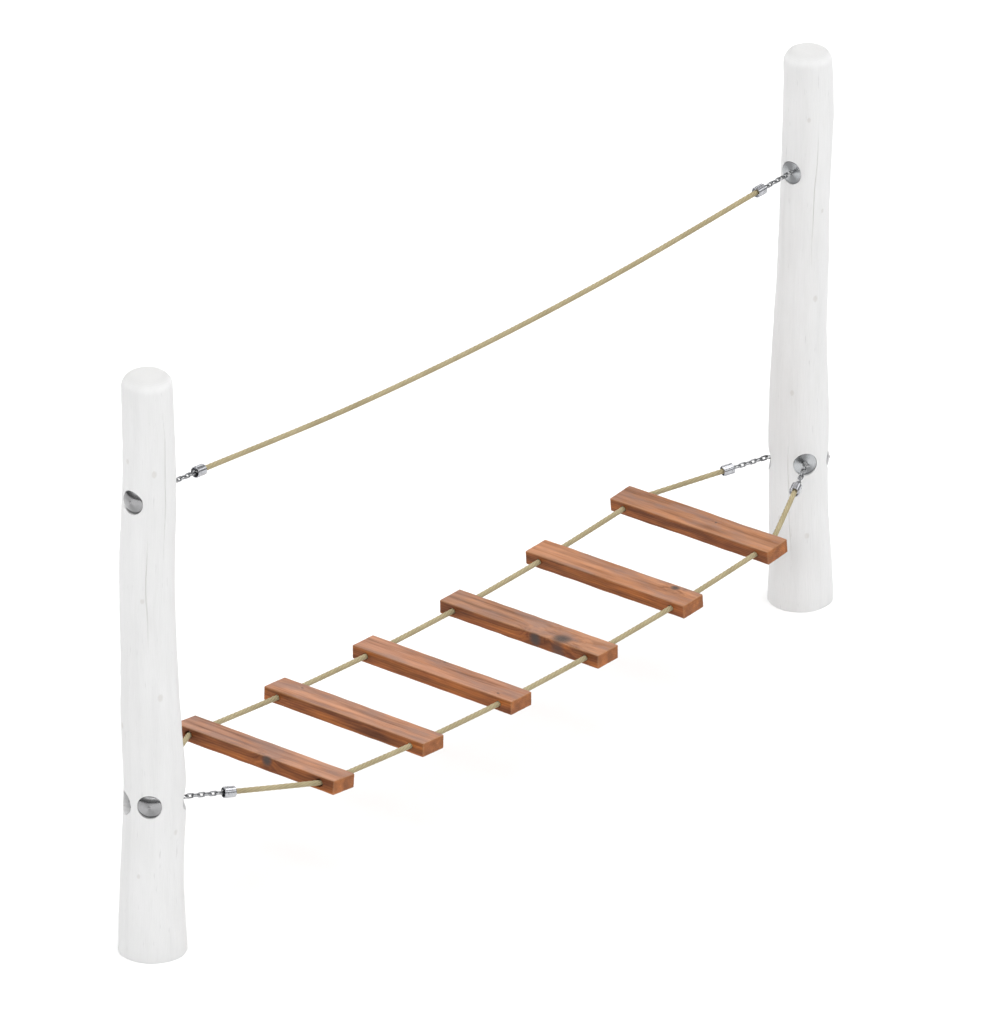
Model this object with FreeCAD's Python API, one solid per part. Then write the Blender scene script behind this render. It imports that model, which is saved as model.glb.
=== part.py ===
"""Rope step bridge between two round timber posts, with a hand rope above it.

Units are millimetres. The origin is on the ground, midway between the posts. +X runs from
the left post to the right post, +Y is the back of the bridge and +Z is up.
"""
import FreeCAD, Part

import math
import os

from FreeCAD import Placement, Rotation, Vector

# ---------------------------------------------------------------- posts
POST_SPACING = 2990.0
POST_HEIGHT = 1800.0
POST_TOP_ROUNDING = 40.0
# The logs are a little crooked. Each row is height, radius, and how far the centre
# has wandered along BOW_DIRECTION.
BOW_DIRECTION = Vector(0.634, -0.774, 0)
LEFT_LOG = [
    (0, 98.5, 0), (140, 94.5, 1), (300, 90, 4), (430, 89, 9), (560, 88.5, 10.5),
    (720, 86, 4), (900, 81, -1), (1100, 78.5, -2), (1260, 77.5, 1), (1500, 75.5, 7),
    (1680, 74, 6), (1800, 72.5, 4),
]
RIGHT_LOG = [
    (0, 98.5, 0), (150, 93.5, -1), (300, 90, -5), (430, 90, -8.5), (580, 90.5, -11.5),
    (720, 87, -10.5), (880, 81.5, -7), (1060, 77, -3), (1260, 75.5, -0.5), (1460, 75, 5.5),
    (1640, 74, 8), (1800, 72.5, 5.5),
]

# ---------------------------------------------------------------- planks
PLANK_LENGTH = 600.0
PLANK_WIDTH = 94.0
PLANK_THICKNESS = 44.0
PLANK_EDGE_ROUND = 4.0
ROPE_HOLE_FROM_END = 50.0
# Planks on the right-hand half as distance from the middle, height and tilt in degrees.
# The left-hand half is its mirror image.
PLANK_ROWS = [(200, 378.5, 1.1), (600, 393.5, 3.25), (1000, 424, 6.2)]
# On the end planks the holes open out towards the post, where the ropes turn inwards.
FLARE_START = 4.0
FLARE_RUN = 46.0
FLARE_INWARD = 5.5
FLARE_RISE = 1.0
FLARE_MOUTH_RADIUS = 13.0

# ---------------------------------------------------------------- ropes
ROPE_DIAMETER = 16.0
ROPE_HOLE_DIAMETER = 17.4
ROPE_SIDE = PLANK_LENGTH / 2 - ROPE_HOLE_FROM_END
# Rope through the back ends of the planks, from its left sleeve to its right sleeve.
BACK_DECK_ROUTE = [
    (-1284.4, 112.3, 469.7), (-1051, 243, 429.6), (-1022, ROPE_SIDE, 426.4),
    (-955, ROPE_SIDE, 419.1), (-670, ROPE_SIDE, 397.5), (-530, ROPE_SIDE, 389.5),
    (-270, ROPE_SIDE, 379.8), (-130, ROPE_SIDE, 377.2), (130, ROPE_SIDE, 377.2),
    (270, ROPE_SIDE, 379.8), (530, ROPE_SIDE, 389.5), (670, ROPE_SIDE, 397.5),
    (955, ROPE_SIDE, 419.1), (1022, ROPE_SIDE, 426.4), (1051, 243, 429.6),
    (1301.6, 133.1, 456.5),
]
# Rope through the front ends of the planks.
FRONT_DECK_ROUTE = [
    (-1299.8, -129.5, 462.1), (-1051, -243, 429.6), (-1022, -ROPE_SIDE, 426.4),
    (-955, -ROPE_SIDE, 419.1), (-670, -ROPE_SIDE, 397.5), (-530, -ROPE_SIDE, 389.5),
    (-270, -ROPE_SIDE, 379.8), (-130, -ROPE_SIDE, 377.2), (130, -ROPE_SIDE, 377.2),
    (270, -ROPE_SIDE, 379.8), (530, -ROPE_SIDE, 389.5), (670, -ROPE_SIDE, 397.5),
    (955, -ROPE_SIDE, 419.1), (1022, -ROPE_SIDE, 426.4), (1051, -243, 429.6),
    (1301.9, -127.7, 466.9),
]
# Slack hand rope, hung in one upright plane between the hand-height bolts.
HAND_SIDE = -3.0
HAND_ROUTE = [
    (-1269.8, HAND_SIDE, 1419.7), (-1215, HAND_SIDE, 1416.5), (-1090, HAND_SIDE, 1408),
    (-905, HAND_SIDE, 1395.5), (-690, HAND_SIDE, 1382.5), (-465, HAND_SIDE, 1374.5),
    (-235, HAND_SIDE, 1369.5), (-5, HAND_SIDE, 1367.5), (225, HAND_SIDE, 1369),
    (455, HAND_SIDE, 1374), (680, HAND_SIDE, 1382), (900, HAND_SIDE, 1394),
    (1090, HAND_SIDE, 1405.5), (1217, HAND_SIDE, 1413.5), (1270.3, HAND_SIDE, 1416.2),
]
ARC_SHARE_OF_RUN = 0.45

# ---------------------------------------------------------------- rope end sleeve
SLEEVE_DIAMETER = 33.0
SLEEVE_LENGTH = 36.0
SLEEVE_EDGE_CHAMFER = 1.6
CHAIN_BORE_DIAMETER = 28.0
CHAIN_BORE_DEPTH = 20.0
ROPE_SOCKET_DEPTH = 14.0
ROPE_MOUTH_DIAMETER = 27.0
ROPE_MOUTH_DEPTH = 7.0
CROSS_PIN_DIAMETER = 5.0
CROSS_PIN_FROM_MOUTH = 10.0
CROSS_PIN_HEAD = 0.8
ROPE_END_FROM_PIN = SLEEVE_LENGTH - ROPE_SOCKET_DEPTH - CROSS_PIN_FROM_MOUTH

# ---------------------------------------------------------------- chain
LINK_WIRE = 5.0
LINK_INNER_LENGTH = 18.5
LINK_OUTER_WIDTH = 17.0
LINK_PLAY = 0.3
LINK_PITCH = LINK_INNER_LENGTH - LINK_PLAY
LINK_END_TO_CENTRE = LINK_INNER_LENGTH / 2 + LINK_WIRE / 2
CROSS_PIN_PLAY = 1.0
LINKS_PER_CHAIN = 7

# ---------------------------------------------------------------- bolts and plates
BOLT_DIAMETER = 10.0
BOLT_HOLE_DIAMETER = 10.6
EYE_WIRE = 5.0
EYE_INNER_DIAMETER = 13.0
EYE_RING_RADIUS = (EYE_INNER_DIAMETER + EYE_WIRE) / 2
EYE_COLLAR_DIAMETER = 16.0
EYE_COLLAR_THICKNESS = 3.0
EYE_COLLAR_EDGE_ROUND = 1.0
EYE_SINK_IN_COLLAR = 1.0
PLATE_DIAMETER = 70.0
PLATE_THICKNESS = 3.0
PLATE_EDGE_ROUND = 1.0
SEAT_DIAMETER = 72.0
NUT_ACROSS_FLATS = 16.0
NUT_THICKNESS = 8.0
BOLT_END_PAST_NUT = 1.5
CAP_HEIGHT = 13.0
CAP_WALL = 2.0
CAP_RIM = 2.5
CAP_BUTTON_DIAMETER = 9.0
CAP_BUTTON_HEIGHT = 1.2
# How far the outer seat lies from the post's axis, for each bolt.
OUTER_SEATS = {
    "left_back": 80.0, "left_front": 60.5, "left_hand": 67.0,
    "right_back": 80.0, "right_front": 80.0, "right_hand": 67.0,
}
# How far each bolt's line passes the post's axis, counterclockwise as seen from above.
BOLT_OFFSETS = {
    "left_back": 0.0, "left_front": 11.0, "left_hand": 0.0,
    "right_back": 0.0, "right_front": 0.0, "right_hand": 0.0,
}

# ---------------------------------------------------------------- rope lock screws
LOCK_SCREW_DIAMETER = 6.0
LOCK_SCREW_HEAD_DIAMETER = 12.0
LOCK_SCREW_HEAD_DEPTH = 3.5
LOCK_SCREW_PAST_ROPE_CENTRE = 5.0


def save(shape, node):
    """Write one node's solids to its STEP file."""
    shape.exportStep("parts/%s.step" % node)
    print("%-24s %2d solid(s) %12.0f mm3" % (node, len(shape.Solids), shape.Volume))


def local_frame(origin, along, up=Vector(0, 0, 1)):
    """Placement whose X axis points along a direction and whose Z axis stays near up."""
    x_axis = Vector(along).normalize()
    y_axis = up.cross(x_axis).normalize()
    z_axis = x_axis.cross(y_axis)
    return Placement(origin, Rotation(x_axis, y_axis, z_axis, "XZY"))


def placed(shape, placement):
    """Copy of a shape, moved into a local frame."""
    moved = shape.copy()
    moved.Placement = placement.multiply(moved.Placement)
    return moved


def rod(diameter, start, end):
    """Round bar between two points."""
    axis = end.sub(start)
    return Part.makeCylinder(diameter / 2, axis.Length, start, axis)


# ---------------------------------------------------------------- ropes

def rope_path(points):
    """Straight runs joined by tangent arcs, as one wire, with the radius of each arc."""
    corners = [Vector(*point) for point in points]
    edges = []
    radii = []
    start = corners[0]
    for before, corner, after in zip(corners, corners[1:], corners[2:]):
        run_in = corner.sub(before)
        run_out = after.sub(corner)
        tangent = ARC_SHARE_OF_RUN * min(run_in.Length, run_out.Length)
        half_turn = run_in.getAngle(run_out) / 2
        radius = tangent / math.tan(half_turn)
        run_in.normalize()
        run_out.normalize()
        inward = run_out.sub(run_in).normalize()
        arc_start = corner.sub(run_in * tangent)
        arc_middle = corner.add(inward * (radius / math.cos(half_turn) - radius))
        arc_end = corner.add(run_out * tangent)
        edges.append(Part.LineSegment(start, arc_start).toShape())
        edges.append(Part.Arc(arc_start, arc_middle, arc_end).toShape())
        radii.append(radius)
        start = arc_end
    edges.append(Part.LineSegment(start, corners[-1]).toShape())
    return Part.Wire(edges), radii


def rope(points, name):
    """Rope of round section along a route."""
    path, radii = rope_path(points)
    first = Vector(*points[0])
    heading = Vector(*points[1]).sub(first)
    section = Part.Wire(Part.makeCircle(ROPE_DIAMETER / 2, first, heading))
    tube = path.makePipeShell([section], True, False)
    expected = math.pi * (ROPE_DIAMETER / 2) ** 2 * path.Length
    print("%s: length %.0f, volume over section x length %.4f, radii %s"
          % (name, path.Length, tube.Volume / expected, [round(radius) for radius in radii]))
    return tube


# ---------------------------------------------------------------- chain and sleeve

def chain_link():
    """One stadium-shaped link, centred on the origin, long along X, lying flat."""
    bend = (LINK_OUTER_WIDTH - LINK_WIRE) / 2
    reach = LINK_END_TO_CENTRE - bend
    corners = [Vector(x, y, 0) for x, y in
               ((-reach, bend), (reach, bend), (reach, -bend), (-reach, -bend))]
    path = Part.Wire([
        Part.LineSegment(corners[0], corners[1]).toShape(),
        Part.Arc(corners[1], Vector(LINK_END_TO_CENTRE, 0, 0), corners[2]).toShape(),
        Part.LineSegment(corners[2], corners[3]).toShape(),
        Part.Arc(corners[3], Vector(-LINK_END_TO_CENTRE, 0, 0), corners[0]).toShape(),
    ])
    section = Part.Wire(Part.makeCircle(LINK_WIRE / 2, corners[0], Vector(1, 0, 0)))
    return path.makePipeShell([section], True, False)


def chain():
    """Taut chain along X. The wire that its first link hangs from is at the origin."""
    first_centre = LINK_END_TO_CENTRE - (EYE_WIRE + LINK_WIRE) / 2 - LINK_PLAY
    links = []
    for index in range(LINKS_PER_CHAIN):
        link = chain_link()
        upright = index % 2 == 0
        if upright:
            link.rotate(Vector(0, 0, 0), Vector(1, 0, 0), 90)
        link.translate(Vector(first_centre + index * LINK_PITCH, 0, 0))
        links.append(link)
    return Part.Compound(links)


def pin_distance():
    """From the wire that the first link hangs from to the sleeve's cross pin."""
    last_link_end = 2 * LINK_END_TO_CENTRE - (EYE_WIRE + LINK_WIRE) / 2 - LINK_PLAY
    last_link_end += (LINKS_PER_CHAIN - 1) * LINK_PITCH
    return last_link_end - (LINK_WIRE + CROSS_PIN_DIAMETER) / 2 - CROSS_PIN_PLAY


def sleeve():
    """Rope end sleeve along X, with its cross pin's centre at the origin."""
    mouth = -CROSS_PIN_FROM_MOUTH
    along = Vector(1, 0, 0)

    def bore(diameter, start, depth):
        return Part.makeCylinder(diameter / 2, depth, Vector(mouth + start, 0, 0), along)

    body = bore(SLEEVE_DIAMETER, 0, SLEEVE_LENGTH)
    rims = [edge for edge in body.Edges if edge.BoundBox.XLength < 1]
    body = body.makeChamfer(SLEEVE_EDGE_CHAMFER, rims)
    body = body.cut(bore(CHAIN_BORE_DIAMETER, 0, CHAIN_BORE_DEPTH))
    body = body.cut(bore(ROPE_DIAMETER, SLEEVE_LENGTH - ROPE_SOCKET_DEPTH, ROPE_SOCKET_DEPTH))
    body = body.cut(bore(ROPE_MOUTH_DIAMETER, SLEEVE_LENGTH - ROPE_MOUTH_DEPTH, ROPE_MOUTH_DEPTH))
    return body.cut(rod(CROSS_PIN_DIAMETER, Vector(0, 0, -SLEEVE_DIAMETER),
                        Vector(0, 0, SLEEVE_DIAMETER)))


def cross_pin():
    """Riveted pin across the sleeve, along Z, centred on the origin."""
    reach = SLEEVE_DIAMETER / 2 + CROSS_PIN_HEAD
    pin = rod(CROSS_PIN_DIAMETER, Vector(0, 0, -reach), Vector(0, 0, reach))
    rims = [edge for edge in pin.Edges if edge.BoundBox.ZLength < 1]
    return pin.makeFillet(CROSS_PIN_HEAD, rims)


# ---------------------------------------------------------------- bolts, plates, caps

def eyebolt(inner_seat, outer_seat):
    """Eyebolt along X through a post on the origin, with its ring lying flat."""
    collar_start = inner_seat + PLATE_THICKNESS
    ring_centre = ring_centre_distance(inner_seat)
    shank = rod(BOLT_DIAMETER, Vector(-outer_seat - NUT_THICKNESS - BOLT_END_PAST_NUT, 0, 0),
                Vector(collar_start, 0, 0))
    collar = rod(EYE_COLLAR_DIAMETER, Vector(collar_start, 0, 0),
                 Vector(collar_start + EYE_COLLAR_THICKNESS, 0, 0))
    rim = [edge for edge in collar.Edges if edge.BoundBox.XMin > collar_start + 1]
    collar = collar.makeFillet(EYE_COLLAR_EDGE_ROUND, rim)
    ring = Part.makeTorus(EYE_RING_RADIUS, EYE_WIRE / 2, Vector(ring_centre, 0, 0))
    return shank.fuse([collar, ring]).removeSplitter()


def ring_centre_distance(inner_seat):
    """From the post's axis to the centre of the eyebolt's ring."""
    return (inner_seat + PLATE_THICKNESS + EYE_COLLAR_THICKNESS - EYE_SINK_IN_COLLAR
            + EYE_RING_RADIUS + EYE_WIRE / 2)


def eye_plate(inner_seat):
    """Flat round plate between the post and the eyebolt's collar."""
    plate = rod(PLATE_DIAMETER, Vector(inner_seat, 0, 0),
                Vector(inner_seat + PLATE_THICKNESS, 0, 0))
    rim = [edge for edge in plate.Edges if edge.BoundBox.XMin > inner_seat + 1]
    plate = plate.makeFillet(PLATE_EDGE_ROUND, rim)
    return plate.cut(rod(BOLT_DIAMETER, Vector(0, 0, 0), Vector(2 * inner_seat, 0, 0)))


def nut(outer_seat):
    """Hexagonal nut on the outer end of an eyebolt."""
    corner_radius = NUT_ACROSS_FLATS / math.sqrt(3)
    corners = [Vector(-outer_seat, corner_radius * math.cos(math.radians(60 * turn)),
                      corner_radius * math.sin(math.radians(60 * turn))) for turn in range(7)]
    blank = Part.Face(Part.makePolygon(corners)).extrude(Vector(-NUT_THICKNESS, 0, 0))
    return blank.cut(rod(BOLT_DIAMETER, Vector(-2 * outer_seat, 0, 0), Vector(0, 0, 0)))


def dome(rim_radius, rim_height, crown_height):
    """Solid of revolution about Z: a short rim with a spherical crown on it."""
    rim_edge = Vector(rim_radius, 0, rim_height)
    crown = Vector(0, 0, crown_height)
    rise = crown_height - rim_height
    sphere_radius = (rim_radius ** 2 + rise ** 2) / (2 * rise)
    half_angle = math.asin(rim_radius / sphere_radius) / 2
    shoulder = Vector(sphere_radius * math.sin(half_angle), 0,
                      crown_height - sphere_radius * (1 - math.cos(half_angle)))
    outline = Part.Wire([
        Part.LineSegment(Vector(0, 0, 0), Vector(rim_radius, 0, 0)).toShape(),
        Part.LineSegment(Vector(rim_radius, 0, 0), rim_edge).toShape(),
        Part.Arc(rim_edge, shoulder, crown).toShape(),
        Part.LineSegment(crown, Vector(0, 0, 0)).toShape(),
    ])
    return Part.Face(outline).revolve(Vector(0, 0, 0), Vector(0, 0, 1), 360)


def cap(outer_seat):
    """Hollow domed cap over the nut, with a small round button in its middle."""
    shell = dome(PLATE_DIAMETER / 2, CAP_RIM, CAP_HEIGHT)
    button = Part.makeCylinder(CAP_BUTTON_DIAMETER / 2, CAP_BUTTON_HEIGHT + CAP_WALL,
                               Vector(0, 0, CAP_HEIGHT - CAP_WALL))
    shell = shell.fuse(button)
    hollow = dome(PLATE_DIAMETER / 2 - CAP_WALL, CAP_RIM - CAP_WALL / 2, CAP_HEIGHT - CAP_WALL)
    shell = shell.cut(hollow)
    shell.rotate(Vector(0, 0, 0), Vector(0, 1, 0), -90)
    shell.translate(Vector(-outer_seat, 0, 0))
    return shell


# ---------------------------------------------------------------- posts and planks

def log_centre(rows, side, height):
    """Centre of a crooked log at a height, taken straight between its rows."""
    for lower, upper in zip(rows, rows[1:]):
        if lower[0] <= height <= upper[0]:
            share = (height - lower[0]) / (upper[0] - lower[0])
            bow = lower[2] + share * (upper[2] - lower[2])
            return Vector(side * POST_SPACING / 2, 0, height).add(BOW_DIRECTION * bow)
    raise ValueError("height is outside the log")


def log(rows, side):
    """Tapered crooked log with a rounded top."""
    rings = []
    for height, radius, _bow in rows:
        ring = Part.makeCircle(radius, log_centre(rows, side, height), Vector(0, 0, 1))
        rings.append(Part.Wire(ring))
    trunk = Part.makeLoft(rings, True, False)
    top_rim = [edge for edge in trunk.Edges
               if edge.BoundBox.ZMin > POST_HEIGHT - 1 and len(edge.Vertexes) == 1]
    return trunk.makeFillet(POST_TOP_ROUNDING, top_rim)


def bored_for(post, bolt):
    """Post with the through hole and the two flat round seats of one bolt."""
    placement, inner_seat, outer_seat = bolt
    far = 3 * SEAT_DIAMETER
    tools = [
        rod(BOLT_HOLE_DIAMETER, Vector(-far, 0, 0), Vector(far, 0, 0)),
        rod(SEAT_DIAMETER, Vector(inner_seat, 0, 0), Vector(far, 0, 0)),
        rod(SEAT_DIAMETER, Vector(-far, 0, 0), Vector(-outer_seat, 0, 0)),
    ]
    for tool in tools:
        post = post.cut(placed(tool, placement))
    return post


def plank(side, row, is_end):
    """One step plank with its two rope holes, flared towards the post on an end plank."""
    distance, height, tilt = row
    body = Part.makeBox(PLANK_WIDTH, PLANK_LENGTH, PLANK_THICKNESS,
                        Vector(-PLANK_WIDTH / 2, -PLANK_LENGTH / 2, -PLANK_THICKNESS / 2))
    body = body.makeFillet(PLANK_EDGE_ROUND, body.Edges)
    for rope_side in (-ROPE_SIDE, ROPE_SIDE):
        body = body.cut(rod(ROPE_HOLE_DIAMETER, Vector(-PLANK_WIDTH, rope_side, 0),
                            Vector(PLANK_WIDTH, rope_side, 0)))
        if is_end:
            start = Vector(FLARE_START, rope_side, 0)
            flare = Vector(FLARE_RUN, -math.copysign(FLARE_INWARD, rope_side), FLARE_RISE)
            body = body.cut(Part.makeCone(ROPE_HOLE_DIAMETER / 2, FLARE_MOUTH_RADIUS,
                                          flare.Length, start, flare))
        body = body.cut(lock_screw(rope_side))
    body.rotate(Vector(0, 0, 0), Vector(0, 1, 0), -tilt)
    body.translate(Vector(distance, 0, height))
    if side < 0:
        body = body.mirror(Vector(0, 0, 0), Vector(1, 0, 0))
    return body


def lock_screw(rope_side):
    """Countersunk screw from a plank's underside into the rope, in the plank's own frame."""
    underside = -PLANK_THICKNESS / 2
    head = Part.makeCone(LOCK_SCREW_HEAD_DIAMETER / 2, LOCK_SCREW_DIAMETER / 2,
                         LOCK_SCREW_HEAD_DEPTH, Vector(0, rope_side, underside))
    shank = rod(LOCK_SCREW_DIAMETER, Vector(0, rope_side, underside),
                Vector(0, rope_side, LOCK_SCREW_PAST_ROPE_CENTRE))
    return head.fuse(shank).removeSplitter()


def lock_screws():
    """All twelve rope lock screws, two in each plank."""
    screws = []
    for distance, height, tilt in PLANK_ROWS:
        for side in (-1, 1):
            for rope_side in (-ROPE_SIDE, ROPE_SIDE):
                screw = lock_screw(rope_side)
                screw.rotate(Vector(0, 0, 0), Vector(0, 1, 0), -tilt * side)
                screw.translate(Vector(distance * side, 0, height))
                screws.append(screw)
    return Part.Compound(screws)


# ---------------------------------------------------------------- assembly

def bolt_line(ring_centre, axis_point, offset):
    """Where a bolt's line passes the post's axis, its direction, and the run to its ring."""
    outward = ring_centre.sub(axis_point)
    run = math.sqrt(outward.Length ** 2 - offset ** 2)
    turn = math.degrees(math.asin(offset / outward.Length))
    direction = Rotation(Vector(0, 0, 1), turn).multVec(outward).normalize()
    return ring_centre.sub(direction * run), direction, run


def rope_anchor(name, route, rows, side):
    """Make the chain, sleeve, pin and bolt at one end of a rope. Returns the bolt."""
    rope_end = Vector(*route[0])
    rope_next = Vector(*route[1])
    towards_rope = rope_next.sub(rope_end).normalize()
    pin_centre = rope_end.sub(towards_rope * ROPE_END_FROM_PIN)
    hang_point = pin_centre.sub(towards_rope * pin_distance())
    flat = Vector(towards_rope.x, towards_rope.y, 0).normalize()
    ring_centre = hang_point.sub(flat * EYE_RING_RADIUS)

    line = local_frame(hang_point, towards_rope)
    last_link_is_upright = LINKS_PER_CHAIN % 2 == 1
    pin_roll = 90 if last_link_is_upright else 0
    across_last_link = Placement(Vector(0, 0, 0), Rotation(Vector(1, 0, 0), pin_roll))
    sleeve_frame = local_frame(pin_centre, towards_rope).multiply(across_last_link)
    save(placed(chain(), line), name + "_chain")
    save(placed(sleeve(), sleeve_frame), name + "_sleeve")
    save(placed(cross_pin(), sleeve_frame), name + "_cross_pin")

    axis_point = log_centre(rows, side, ring_centre.z)
    passing_point, outward, run = bolt_line(ring_centre, axis_point, BOLT_OFFSETS[name])
    inner_seat = run - ring_centre_distance(0)
    placement = local_frame(passing_point, outward)
    outer_seat = OUTER_SEATS[name]
    save(placed(eyebolt(inner_seat, outer_seat), placement), name + "_eyebolt")
    save(placed(eye_plate(inner_seat), placement), name + "_eye_plate")
    save(placed(cap(outer_seat), placement), name + "_bolt_cap")
    print("%s: hang point %s, pin %s, inner seat %.1f, bolt heading %.1f degrees"
          % (name, tuple(hang_point), tuple(pin_centre), inner_seat,
             math.degrees(math.atan2(outward.y, outward.x))))
    return placement, inner_seat, outer_seat


def build_post(name, side, rows):
    """One post with its three bolts, and everything that hangs from them."""
    routes = {"_back": BACK_DECK_ROUTE, "_front": FRONT_DECK_ROUTE, "_hand": HAND_ROUTE}
    post = log(rows, side)
    nuts = []
    for suffix, route in routes.items():
        from_this_post = route if side < 0 else route[::-1]
        bolt = rope_anchor(name + suffix, from_this_post, rows, side)
        placement, _inner_seat, outer_seat = bolt
        post = bored_for(post, bolt)
        nuts.append(placed(nut(outer_seat), placement))
    save(post, name + "_post")
    save(Part.Compound(nuts), name + "_nuts")


def main():
    os.makedirs("parts", exist_ok=True)
    build_post("left", -1, LEFT_LOG)
    build_post("right", 1, RIGHT_LOG)
    half_count = len(PLANK_ROWS)
    for index, row in enumerate(PLANK_ROWS):
        is_end = index == half_count - 1
        save(plank(-1, row, is_end), "plank_%d" % (half_count - index))
        save(plank(1, row, is_end), "plank_%d" % (half_count + 1 + index))
    save(lock_screws(), "rope_lock_screws")
    save(rope(BACK_DECK_ROUTE, "back deck rope"), "back_deck_rope")
    save(rope(FRONT_DECK_ROUTE, "front deck rope"), "front_deck_rope")
    save(rope(HAND_ROUTE, "hand rope"), "hand_rope")


main()
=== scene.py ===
"""Looks of the rope step bridge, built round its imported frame. Metres, Z up, +X along the walk."""

import math

import bmesh
import bpy
import numpy as np
from mathutils import Matrix, Vector
from mathutils.bvhtree import BVHTree


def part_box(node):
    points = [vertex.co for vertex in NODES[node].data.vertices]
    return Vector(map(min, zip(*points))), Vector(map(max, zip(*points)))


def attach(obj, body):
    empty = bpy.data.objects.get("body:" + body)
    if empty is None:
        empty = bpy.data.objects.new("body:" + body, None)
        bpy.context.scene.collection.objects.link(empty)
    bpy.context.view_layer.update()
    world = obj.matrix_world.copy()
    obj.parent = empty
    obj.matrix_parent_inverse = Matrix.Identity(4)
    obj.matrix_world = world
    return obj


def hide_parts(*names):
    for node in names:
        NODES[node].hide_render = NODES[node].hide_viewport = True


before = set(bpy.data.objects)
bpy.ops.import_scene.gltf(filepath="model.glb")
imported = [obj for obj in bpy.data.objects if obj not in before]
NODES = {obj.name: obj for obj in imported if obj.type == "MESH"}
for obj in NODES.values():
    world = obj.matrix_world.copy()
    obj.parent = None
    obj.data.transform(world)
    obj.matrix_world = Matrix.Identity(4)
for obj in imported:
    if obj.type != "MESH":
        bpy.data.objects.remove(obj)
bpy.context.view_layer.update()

# ---------------------------------------------------------------- camera
CAMERA_AZIMUTH = math.radians(-50.684)
CAMERA_ELEVATION = math.radians(25.115)
CAMERA_DISTANCE = 36.77
CAMERA_TARGET = Vector((0.0, 0.0, 0.8))
CAMERA_SLIDE = Vector((0.0152, 0.0264, 0.0))
CAMERA_LENS = 445.1


def make_camera():
    """Long lens at the viewing angle, slid a little right and up to frame the object."""
    flat = math.cos(CAMERA_ELEVATION)
    back = Vector((math.sin(CAMERA_AZIMUTH) * flat, -math.cos(CAMERA_AZIMUTH) * flat,
                   math.sin(CAMERA_ELEVATION)))
    data = bpy.data.cameras.new("camera")
    data.lens = CAMERA_LENS
    data.sensor_width = 36.0
    data.clip_start, data.clip_end = 0.1, 500.0
    camera = bpy.data.objects.new("camera", data)
    camera.rotation_mode = "QUATERNION"
    camera.rotation_quaternion = (-back).to_track_quat("-Z", "Y")
    camera.location = (CAMERA_TARGET + back * CAMERA_DISTANCE
                       + camera.rotation_quaternion @ CAMERA_SLIDE)
    bpy.context.scene.collection.objects.link(camera)
    bpy.context.scene.camera = camera


make_camera()

# ---------------------------------------------------------------- routes of the three ropes
ROPE_DIAMETER = 0.016
BACK_DECK_ROUTE = [
    (-1.2844, 0.1123, 0.4697), (-1.051, 0.243, 0.4296), (-1.022, 0.25, 0.4264),
    (-0.955, 0.25, 0.4191), (-0.67, 0.25, 0.3975), (-0.53, 0.25, 0.3895),
    (-0.27, 0.25, 0.3798), (-0.13, 0.25, 0.3772), (0.13, 0.25, 0.3772),
    (0.27, 0.25, 0.3798), (0.53, 0.25, 0.3895), (0.67, 0.25, 0.3975),
    (0.955, 0.25, 0.4191), (1.022, 0.25, 0.4264), (1.051, 0.243, 0.4296),
    (1.3016, 0.1331, 0.4565),
]
FRONT_DECK_ROUTE = [
    (-1.2998, -0.1295, 0.4621), (-1.051, -0.243, 0.4296), (-1.022, -0.25, 0.4264),
    (-0.955, -0.25, 0.4191), (-0.67, -0.25, 0.3975), (-0.53, -0.25, 0.3895),
    (-0.27, -0.25, 0.3798), (-0.13, -0.25, 0.3772), (0.13, -0.25, 0.3772),
    (0.27, -0.25, 0.3798), (0.53, -0.25, 0.3895), (0.67, -0.25, 0.3975),
    (0.955, -0.25, 0.4191), (1.022, -0.25, 0.4264), (1.051, -0.243, 0.4296),
    (1.3019, -0.1277, 0.4669),
]
HAND_ROUTE = [
    (-1.2698, -0.003, 1.4197), (-1.215, -0.003, 1.4165), (-1.09, -0.003, 1.408),
    (-0.905, -0.003, 1.3955), (-0.69, -0.003, 1.3825), (-0.465, -0.003, 1.3745),
    (-0.235, -0.003, 1.3695), (-0.005, -0.003, 1.3675), (0.225, -0.003, 1.369),
    (0.455, -0.003, 1.374), (0.68, -0.003, 1.382), (0.9, -0.003, 1.394),
    (1.09, -0.003, 1.4055), (1.217, -0.003, 1.4135), (1.2703, -0.003, 1.4162),
]


def route_line(points):
    """Points down a smooth line that has the route's points as its control points."""
    curve = bpy.data.curves.new("route", "CURVE")
    curve.dimensions = "3D"
    spline = curve.splines.new("NURBS")
    spline.points.add(len(points) - 1)
    for control, point in zip(spline.points, points):
        control.co = (*point, 1.0)
    spline.order_u = 3
    spline.use_endpoint_u = True
    spline.resolution_u = 40
    bare = bpy.data.objects.new("route", curve)
    mesh = bpy.data.meshes.new_from_object(bare)
    line = np.array([v.co for v in mesh.vertices], float)
    bpy.data.meshes.remove(mesh)
    bpy.data.objects.remove(bare)
    bpy.data.curves.remove(curve)
    return line


# ---------------------------------------------------------------- mesh helpers

def add_object(name, mesh):
    obj = bpy.data.objects.new(name, mesh)
    bpy.context.scene.collection.objects.link(obj)
    return obj


def mesh_from(name, verts, faces, smooth=True):
    mesh = bpy.data.meshes.new(name)
    mesh.from_pydata([tuple(v) for v in verts], [], [tuple(f) for f in faces])
    mesh.update()
    if smooth:
        mesh.shade_smooth()
    return mesh


def positions(mesh):
    out = np.zeros(len(mesh.vertices) * 3, np.float32)
    mesh.vertices.foreach_get("co", out)
    return out.reshape(-1, 3).astype(float)


def set_attribute(mesh, name, values):
    """Store one number or one vector for each vertex, for the materials to read."""
    values = np.asarray(values, np.float32)
    vector = values.ndim == 2
    kind = "FLOAT_VECTOR" if vector else "FLOAT"
    attribute = mesh.attributes.new(name, kind, "POINT")
    attribute.data.foreach_set("vector" if vector else "value", values.ravel())


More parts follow.
